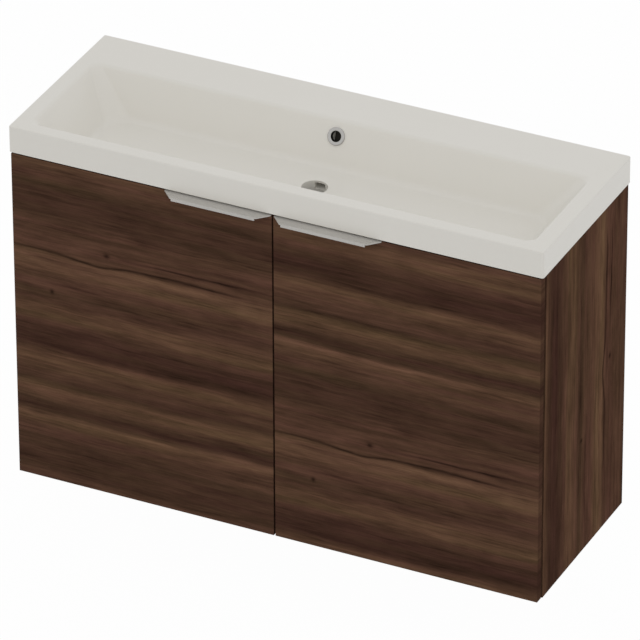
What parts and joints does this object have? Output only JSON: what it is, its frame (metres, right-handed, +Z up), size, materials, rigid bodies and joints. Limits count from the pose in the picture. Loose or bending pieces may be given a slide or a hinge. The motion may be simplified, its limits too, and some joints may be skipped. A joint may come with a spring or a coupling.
{
  "type": "wall-hung vanity unit with basin",
  "caption": "Wall-hung bathroom vanity: a long shallow white basin on a dark walnut cabinet whose doors open on concealed hinges by thin metal edge pulls.",
  "frame": {"origin": "on the wall plane, at the centre of the four wall fixing holes", "axes": "+X along the basin to the right as seen from the front, +Y towards the wall, +Z up"},
  "size_m": [1, 0.38, 0.69],
  "materials": {
    "white_glaze": "glossy white glaze",
    "chrome": "polished",
    "walnut_front": "dark walnut laminate, satin, level grain",
    "walnut_side": "dark walnut laminate, satin, upright grain",
    "walnut_carcass": "dark walnut laminate, satin",
    "handle_aluminium": "satin",
    "hinge_steel": "nickel plated",
    "fitting_zinc": "zinc plated",
    "screw_steel": "zinc plated",
    "hanger_plastic": "white",
    "cover_plastic": "white",
    "hanger_steel": "zinc plated",
    "buffer": "clear soft plastic",
    "dowel_beech": "plain beech"
  },
  "bodies": {
    "carcass": {"arm_pins_left": "hinge_steel", "arm_pins_right": "hinge_steel", "back_panel": "walnut_carcass", "basin": "white_glaze", "bottom_panel": "walnut_carcass", "cam_bolts": "fitting_zinc", "cams": "fitting_zinc", "dowels": "dowel_beech", "front_rail": "walnut_carcass", "hanger_cover_left": "cover_plastic", "hanger_cover_right": "cover_plastic", "hanger_hook_left": "hanger_steel", "hanger_hook_right": "hanger_steel", "hanger_left": "hanger_plastic", "hanger_right": "hanger_plastic", "hanger_screws": "screw_steel", "hanging_rail": "walnut_carcass", "hinge_arm_left_lower": "hinge_steel", "hinge_arm_left_upper": "hinge_steel", "hinge_arm_right_lower": "hinge_steel", "hinge_arm_right_upper": "hinge_steel", "hinge_arm_screws": "screw_steel", "hinge_plate_left_lower": "hinge_steel", "hinge_plate_left_upper": "hinge_steel", "hinge_plate_right_lower": "hinge_steel", "hinge_plate_right_upper": "hinge_steel", "hinge_plate_screws": "screw_steel", "overflow_ring": "chrome", "shelf": "walnut_carcass", "shelf_pins": "fitting_zinc", "side_left": "walnut_side", "side_right": "walnut_side", "wall_plate_left": "hanger_steel", "wall_plate_right": "hanger_steel"},
    "left_levers": {"hinge_lever_left_upper": "hinge_steel", "hinge_lever_left_lower": "hinge_steel"},
    "left_door": {"door_left": "walnut_front", "handle_left": "handle_aluminium", "handle_screws_left": "screw_steel", "door_buffers_left": "buffer", "cup_pins_left": "hinge_steel", "cup_screws_left": "screw_steel", "hinge_cup_left_upper": "hinge_steel", "hinge_cup_left_lower": "hinge_steel"},
    "right_levers": {"hinge_lever_right_upper": "hinge_steel", "hinge_lever_right_lower": "hinge_steel"},
    "right_door": {"door_right": "walnut_front", "handle_right": "handle_aluminium", "handle_screws_right": "screw_steel", "door_buffers_right": "buffer", "cup_pins_right": "hinge_steel", "cup_screws_right": "screw_steel", "hinge_cup_right_upper": "hinge_steel", "hinge_cup_right_lower": "hinge_steel"}
  },
  "joints": [
    {"name": "left_lever_turn", "type": "hinge", "parent": "carcass", "child": "left_levers", "pos_m": [-0.4665, -0.346, 0.0525], "axis": [0, 0, 1], "range_deg": [0, 40]},
    {"name": "left_door_turn", "type": "hinge", "parent": "left_levers", "child": "left_door", "pos_m": [-0.4859, -0.349, 0.0525], "axis": [0, 0, -1], "range_deg": [0, 135]},
    {"name": "right_lever_turn", "type": "hinge", "parent": "carcass", "child": "right_levers", "pos_m": [0.4665, -0.346, 0.0525], "axis": [0, 0, -1], "range_deg": [0, 40]},
    {"name": "right_door_turn", "type": "hinge", "parent": "right_levers", "child": "right_door", "pos_m": [0.4859, -0.349, 0.0525], "axis": [0, 0, 1], "range_deg": [0, 135]}
  ],
  "couplings": [
    {"joint": "left_door_turn", "follows": "left_lever_turn", "ratio": 3.375},
    {"joint": "right_door_turn", "follows": "right_lever_turn", "ratio": 3.375}
  ]
}
